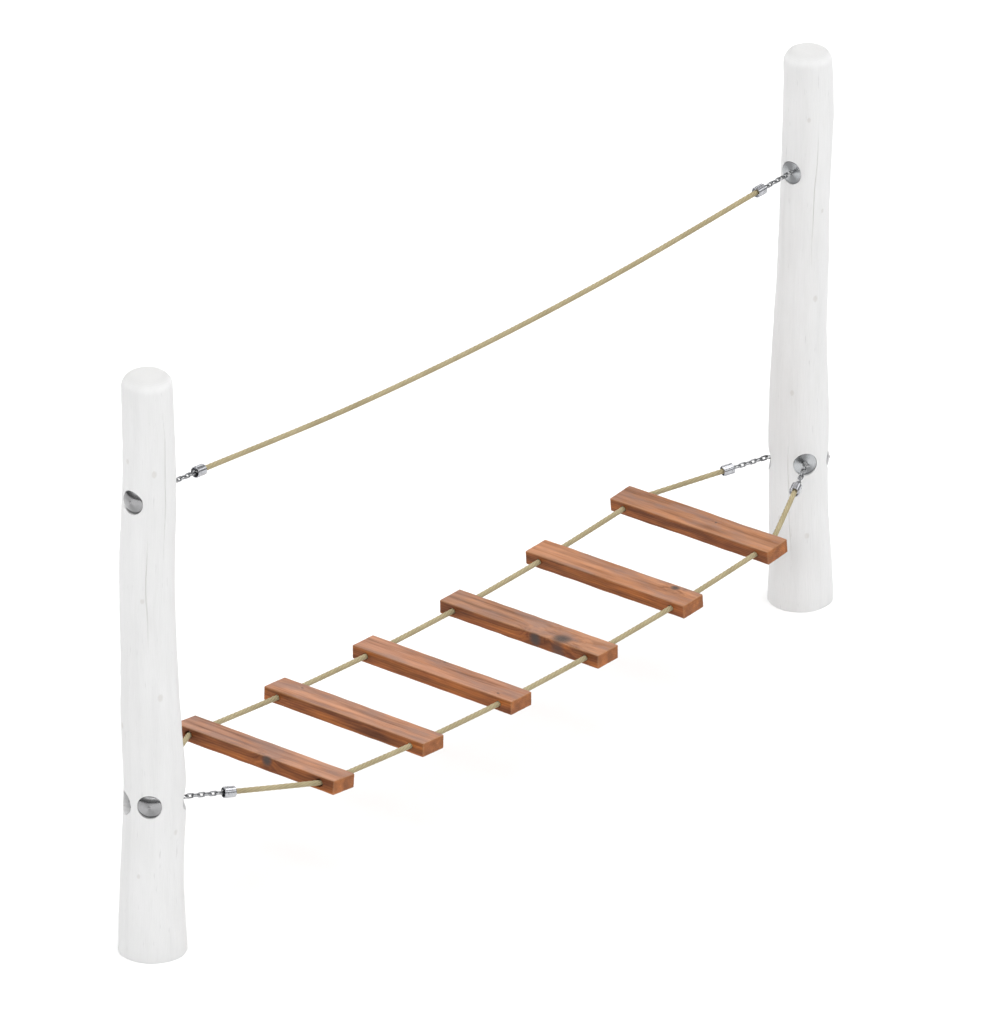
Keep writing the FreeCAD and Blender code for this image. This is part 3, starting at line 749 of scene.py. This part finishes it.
def make_log(side):
    """Detailed log: the CAD log's own crook and taper, with wood relief and cut seats."""
    node = side + "_post"
    fits = ring_fits(node, [place.z for place, _ in SEATS[side]])
    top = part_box(node)[1].z
    shoulder = top - TOP_ROUNDING
    heights = list(np.arange(0.0, shoulder, LOG_ROW)) + [shoulder]
    insets = [0.0] * len(heights)
    for step in np.linspace(0, math.pi / 2, TOP_ROWS)[1:]:
        heights.append(shoulder + TOP_ROUNDING * math.sin(step))
        insets.append(TOP_ROUNDING * (1 - math.cos(step)))
    heights, insets = np.array(heights), np.array(insets)
    within = np.clip(heights, fits[0, 0], fits[-1, 0])
    cx, cy, radii = (np.interp(within, fits[:, 0], fits[:, k]) for k in (1, 2, 3))
    turn = np.arange(LOG_STEPS) * 2 * math.pi / LOG_STEPS
    turns, levels = np.meshgrid(turn, heights)
    relief = log_relief(side, turns, levels, radii[:, None])[0]
    fade = np.clip(1 - insets / TOP_ROUNDING, 0, 1)[:, None]
    reach = radii[:, None] - insets[:, None] + relief * fade
    verts = [np.stack([cx[:, None] + reach * np.cos(turns), cy[:, None] + reach * np.sin(turns),
                       levels], axis=2).reshape(-1, 3)]
    rows = len(heights)
    flat_radius = radii[-1] - TOP_ROUNDING
    for share in FLAT_TOP_SHARES:
        ring = flat_radius * share
        verts.append(np.stack([cx[-1] + ring * np.cos(turn), cy[-1] + ring * np.sin(turn),
                               np.full(LOG_STEPS, top)], axis=1))
    rows += len(FLAT_TOP_SHARES)
    verts.append(np.array([[cx[-1], cy[-1], top], [cx[0], cy[0], 0.0]]))
    verts = np.concatenate(verts)
    faces = []
    for row in range(rows - 1):
        base = row * LOG_STEPS
        for k in range(LOG_STEPS):
            n = (k + 1) % LOG_STEPS
            faces.append((base + k, base + n, base + LOG_STEPS + n, base + LOG_STEPS + k))
    last, crown, foot = (rows - 1) * LOG_STEPS, rows * LOG_STEPS, rows * LOG_STEPS + 1
    for k in range(LOG_STEPS):
        n = (k + 1) % LOG_STEPS
        faces += [(last + k, last + n, crown), (n, k, foot)]
    log = add_object(node + "_log", mesh_from(node + "_log", verts, faces))
    cut(log, seat_cutters(node, side))
    points = positions(log.data)
    middle = np.stack([np.interp(points[:, 2], heights, cx), np.interp(points[:, 2], heights, cy)],
                      axis=1)
    local = points[:, :2] - middle
    out = np.linalg.norm(local, axis=1)
    radius = np.interp(points[:, 2], heights, radii)
    _, knot, check = log_relief(side, np.arctan2(local[:, 1], local[:, 0]), points[:, 2], radius)
    # Share of the darker top colour, partly end grain and partly painted shade, rising over the
    # rounded shoulder.
    end_grain_and_shade_share = np.clip(((points[:, 2] - shoulder) / TOP_ROUNDING - 0.35) / 0.6, 0, 1)
    end_grain_and_shade_share = end_grain_and_shade_share ** 2 * (3 - 2 * end_grain_and_shade_share)
    on_skin = radius - out < SKIN_DEPTH
    shift = LEFT_GRAIN_SHIFT if side == "left" else 0
    set_attribute(log.data, "grain", np.c_[local, points[:, 2] + shift])
    set_attribute(log.data, "knot", knot * on_skin)
    set_attribute(log.data, "check", check * on_skin)
    set_attribute(log.data, "end", end_grain_and_shade_share)
    set_attribute(log.data, "reach", out)
    log.data.materials.clear()
    log.data.materials.append(LOG)
    sharpen(log.data, LOG_EDGE_ANGLE)
    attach(log, "root")
    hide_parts(node)


def sharpen(mesh, degrees):
    """Smooth faces, with edges steeper than an angle left sharp."""
    work = bmesh.new()
    work.from_mesh(mesh)
    limit = math.radians(degrees)
    for face in work.faces:
        face.smooth = True
    for edge in work.edges:
        edge.smooth = not (len(edge.link_faces) == 2 and edge.calc_face_angle(0.0) > limit)
    work.to_mesh(mesh)
    work.free()


for side in ("left", "right"):
    make_log(side)


# ---------------------------------------------------------------- step planks
PLANK_HALF = np.array([0.047, 0.3, 0.022])
PLANK_ROUND = 0.004
PLANK_ROUND_RANGE = (0.0028, 0.0062)
PLANK_GRID = (0.003, 0.0034, 0.003)
PLANK_EDGE_ANGLE = 35
EASED_IN = 0.0002
WORN_EDGE = 0.0045
FACE_DEPTH, FACE_FADE = 0.0025, 0.002
ROPE_SIDE = 0.25
HOLE_RADIUS = 0.0087
HOLE_EASE = 0.0016
CUT_PAST_FACE, CUT_FLARE = 0.01, 0.002
FLARE_START, FLARE_RUN, FLARE_INWARD, FLARE_RISE = 0.004, 0.046, 0.0055, 0.001
FLARE_MOUTH_RADIUS, FLARE_END_RADIUS, FLARE_PAST_FACE = 0.013, 0.0150, 0.006
SCREW_HEAD_RADIUS, SCREW_HOLE_RADIUS, SCREW_SINK = 0.0064, 0.0031, 0.0036
SCREW_CUT_RADIUS, SCREW_CUT_PAST_FACE = 0.0075, 0.005
# Knots on each plank as (x, y, radius, lean) on its top, in the plank's own frame. They run
# downwards through it, leaning as given.
PLANK_KNOTS = {
    1: [(-0.055, -0.050, 0.015, 0.75)],
    2: [(0.020, 0.210, 0.004, 0.2)],
    3: [(0.0386, 0.0196, 0.0045, -0.4), (-0.0256, -0.232, 0.0045, 0.1)],
    4: [(-0.0252, -0.1468, 0.026, -0.1), (-0.0600, -0.0627, 0.018, 0.75)],
    5: [(0.0281, -0.2082, 0.013, 0.2)],
    6: [(0.010, -0.060, 0.004, 0.5)],
}
# How the colour of each plank's top, lightened as painted light, differs from the average, as red,
# green and blue.
PLANK_TONES = {
    1: (1.04, 1.08, 1.19), 2: (1.10, 1.10, 1.15), 3: (0.97, 0.98, 1.06),
    4: (0.96, 0.96, 0.93), 5: (1.03, 0.97, 0.89), 6: (0.93, 0.89, 0.81),
}


def axis_steps(half, spacing):
    """Grid places across one axis of a box, closer together in its rounded edges."""
    inner = half - PLANK_ROUND
    count = max(2, int(round(2 * inner / spacing)))
    middle = np.linspace(-inner, inner, count + 1)
    edge = inner + PLANK_ROUND * np.array([0.25, 0.5, 0.75, 1.0])
    return np.concatenate([-edge[::-1], middle, edge])


def box_grid(steps):
    """Closed grid of quads over a box, as vertices and faces."""
    index, verts, faces = {}, [], []

    def vertex(key):
        if key not in index:
            index[key] = len(verts)
            verts.append([steps[axis][key[axis]] for axis in range(3)])
        return index[key]

    for axis in range(3):
        u, v = (axis + 1) % 3, (axis + 2) % 3
        for end in (0, len(steps[axis]) - 1):
            for a in range(len(steps[u]) - 1):
                for b in range(len(steps[v]) - 1):
                    corners = []
                    for da, db in ((0, 0), (1, 0), (1, 1), (0, 1)):
                        key = [0, 0, 0]
                        key[axis], key[u], key[v] = end, a + da, b + db
                        corners.append(vertex(tuple(key)))
                    faces.append(corners if end else corners[::-1])
    return np.array(verts), faces


def round_box(points, seed):
    """Round a box's edges by a radius that wanders along them, and ease the flat faces."""
    y = points[:, 1]
    corner = np.sign(points[:, 0]) * 1.7 + np.sign(points[:, 2]) * 0.9
    radius = PLANK_ROUND + wavy(y + corner, 0 * y, waves(seed, 9, (12, 0), (90, 0), 0.00035))
    radius = np.clip(radius, *PLANK_ROUND_RANGE)[:, None]
    inner = PLANK_HALF - radius
    core = np.clip(points, -inner, inner)
    away = points - core
    length = np.linalg.norm(away, axis=1)[:, None]
    rounded = core + away / np.maximum(length, 1e-9) * np.minimum(length, radius)
    normal = away / np.maximum(length, 1e-9)
    across = points[:, 0] + 1.3 * points[:, 2]
    ripple = wavy(y, across, waves(seed + 1, 10, (4, 8), (28, 90), 0.00007))
    combed = wavy(y, across, waves(seed + 2, 16, (2, 260), (14, 900), 0.000035))
    return rounded + normal * (ripple + combed - EASED_IN)[:, None]


def hole_cutter(y, towards_post):
    """Rope hole along X with eased mouths. An end plank's opens towards its post."""
    mouth, radius, ease = PLANK_HALF[0], HOLE_RADIUS, HOLE_EASE
    wide = radius + ease + CUT_FLARE
    profile = [(0, -mouth - CUT_PAST_FACE), (wide, -mouth - CUT_PAST_FACE),
               (radius + ease, -mouth), (radius, -mouth + ease), (radius, mouth - ease),
               (radius + ease, mouth), (wide, mouth + CUT_PAST_FACE), (0, mouth + CUT_PAST_FACE)]
    hole = lathe("hole", profile, 64)
    hole.transform(Matrix.Translation((0, y, 0)) @ Matrix.Rotation(math.pi / 2, 4, "Y"))
    cutters = [add_object("hole", hole)]
    if towards_post:
        start = Vector((FLARE_START * towards_post, y, 0))
        flare = Vector((FLARE_RUN * towards_post, -math.copysign(FLARE_INWARD, y), FLARE_RISE))
        end = flare.length + FLARE_PAST_FACE
        cone = lathe("flare", [(0, 0), (radius, 0), (FLARE_MOUTH_RADIUS, flare.length),
                               (FLARE_END_RADIUS, end), (0, end)], 64)
        turn = flare.to_track_quat("Z", "Y").to_matrix().to_4x4()
        cone.transform(Matrix.Translation(start) @ turn)
        cutters.append(add_object("flare", cone))
    return cutters


def screw_cutter(y):
    """Countersunk hole in the underside for a rope lock screw."""
    bottom = -PLANK_HALF[2]
    below = bottom - SCREW_CUT_PAST_FACE
    profile = [(0, below), (SCREW_CUT_RADIUS, below), (SCREW_HEAD_RADIUS, bottom),
               (SCREW_HOLE_RADIUS, bottom + SCREW_SINK), (SCREW_HOLE_RADIUS, 0.0), (0, 0.0)]
    hole = lathe("screw_hole", profile, 40)
    hole.transform(Matrix.Translation((0, y, 0)))
    return add_object("screw_hole", hole)


def plank_frame(node):
    """Matrix of a plank's own frame, from its CAD node: its place, and its tilt about Y."""
    mesh = NODES[node].data
    best = max(mesh.polygons, key=lambda face: face.area if face.normal.z > 0.9 else 0)
    up = Vector(best.normal)
    up.y = 0
    up.normalize()
    low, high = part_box(node)
    along = Vector((0, 1, 0))
    across = along.cross(up)
    turn = Matrix((across, along, up)).transposed().to_4x4()
    return Matrix.Translation((low + high) / 2) @ turn


def plank_fields(points, number, seed):
    """Grain place, knot, wear, topside and end-face values for each point of a plank."""
    grain = points.copy()
    knot = np.zeros(len(points))
    for x, y, size, lean in PLANK_KNOTS[number]:
        depth = PLANK_HALF[2] - points[:, 2]
        across = points[:, 0] - (x + lean * depth)
        along = (points[:, 1] - y) * 0.8
        away = np.sqrt(across ** 2 + along ** 2)
        knot = np.maximum(knot, np.clip(1.35 - away / size, 0, 1))
        push = np.exp(-(away / (2.2 * size)) ** 2) * size * 1.6
        grain[:, 0] += push * np.sign(across + 1e-9) * np.minimum(1, np.abs(across) / size)
        grain[:, 2] -= push * 0.8
    rng = np.random.default_rng(seed)
    pith = np.array([rng.uniform(-0.05, 0.05), rng.uniform(0, 3.0), -rng.uniform(0.03, 0.11)])
    inner = PLANK_HALF - WORN_EDGE
    beyond = np.clip(np.abs(points) - inner, 0, None) / WORN_EDGE
    wear = np.clip(np.sort(beyond, axis=1)[:, 1] * 1.6, 0, 1)
    up = np.clip((points[:, 2] - PLANK_HALF[2] + FACE_DEPTH) / FACE_FADE, 0, 1)
    end = np.clip((np.abs(points[:, 1]) - PLANK_HALF[1] + FACE_DEPTH) / FACE_FADE, 0, 1)
    return grain - pith, knot, wear, up, end


def make_plank(number, count):
    node = "plank_%d" % number
    steps = [axis_steps(half, gap) for half, gap in zip(PLANK_HALF, PLANK_GRID)]
    verts, faces = box_grid(steps)
    seed = 100 + 7 * number
    plank = add_object(node + "_board", mesh_from(node, round_box(verts, seed), faces))
    towards_post = {1: -1, count: 1}.get(number, 0)
    cutters = []
    for y in (-ROPE_SIDE, ROPE_SIDE):
        cutters += hole_cutter(y, towards_post) + [screw_cutter(y)]
    cut(plank, cutters)
    points = positions(plank.data)
    names = ("grain", "knot", "wear", "up", "end")
    for name, values in zip(names, plank_fields(points, number, seed)):
        set_attribute(plank.data, name, values)
    set_attribute(plank.data, "tone", np.tile(PLANK_TONES[number], (len(points), 1)))
    plank.data.materials.clear()
    plank.data.materials.append(PLANK)
    sharpen(plank.data, PLANK_EDGE_ANGLE)
    plank.data.transform(plank_frame(node))
    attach(plank, "deck")
    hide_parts(node)


PLANK_COUNT = len(PLANK_KNOTS)
for number in range(1, PLANK_COUNT + 1):
    make_plank(number, PLANK_COUNT)


# ---------------------------------------------------------------- carried-over CAD metal

def finish_cad_nodes():
    """Give every CAD node that still shows a procedural metal."""
    for name, node in NODES.items():
        if node.hide_render:
            continue
        metal = ZINC if name.endswith("_chain") else SATIN if name.endswith("_sleeve") else BOLT
        if not node.material_slots:
            node.data.materials.append(metal)
        for slot in node.material_slots:
            slot.material = metal


finish_cad_nodes()


# ---------------------------------------------------------------- floor and light
FLOOR_REACH = 200
FLOOR_DROP = 0.0005
SUN_STRENGTH = 2.9
SUN_WIDTH = 70
SUN_FROM = (-0.02, -0.10, 1.0)
# Brightness of the sky against the sine of its height.
SKY = [(0.0, 0.30), (0.12, 0.35), (0.24, 0.80), (0.36, 0.95), (0.42, 4.5), (0.50, 4.5),
       (0.56, 0.80), (0.68, 0.38), (1.0, 0.28)]
SKY_STRENGTH = 0.55


def make_floor():
    """Large pale floor with a faint unevenness of tone."""
    m = Material("pale_floor", Specular_IOR_Level=0.0, Roughness=0.95)
    tone = m.noise(m.add("TexCoord", out=3), 0.35, 2.0)
    colour = m.ramp(tone, [(0.3, 0.875), (0.7, 0.885)])
    corners = [(x * FLOOR_REACH, y * FLOOR_REACH, -FLOOR_DROP)
               for x, y in ((-1, -1), (1, -1), (1, 1), (-1, 1))]
    floor = add_object("floor", mesh_from("floor", corners, [(0, 1, 2, 3)], False))
    floor.data.materials.append(m.finish(colour))


def make_light():
    """Wide soft light from above, and a sky that is bright low down and dimmer overhead."""
    sun = bpy.data.lights.new("overhead", "SUN")
    sun.energy = SUN_STRENGTH
    sun.angle = math.radians(SUN_WIDTH)
    lamp = bpy.data.objects.new("overhead", sun)
    lamp.rotation_mode = "QUATERNION"
    lamp.rotation_quaternion = Vector(SUN_FROM).to_track_quat("Z", "Y")
    bpy.context.scene.collection.objects.link(lamp)
    world = bpy.data.worlds.new("soft_sky")
    bpy.context.scene.world = world
    world.use_nodes = True
    tree = world.node_tree
    place = tree.nodes.new("ShaderNodeTexCoord")
    parts = tree.nodes.new("ShaderNodeSeparateXYZ")
    ramp = tree.nodes.new("ShaderNodeValToRGB")
    elements = ramp.color_ramp.elements
    while len(elements) < len(SKY):
        elements.new(0.5)
    for element, (height, grey) in zip(elements, SKY):
        element.position = height
        element.color = (grey, grey, grey, 1.0)
    back = tree.nodes["Background"]
    back.inputs["Strength"].default_value = SKY_STRENGTH
    tree.links.new(place.outputs["Generated"], parts.inputs[0])
    tree.links.new(parts.outputs[2], ramp.inputs[0])
    tree.links.new(ramp.outputs[0], back.inputs["Color"])


make_floor()
make_light()
bpy.context.scene.view_settings.view_transform = "Standard"
bpy.context.scene.view_settings.look = "None"
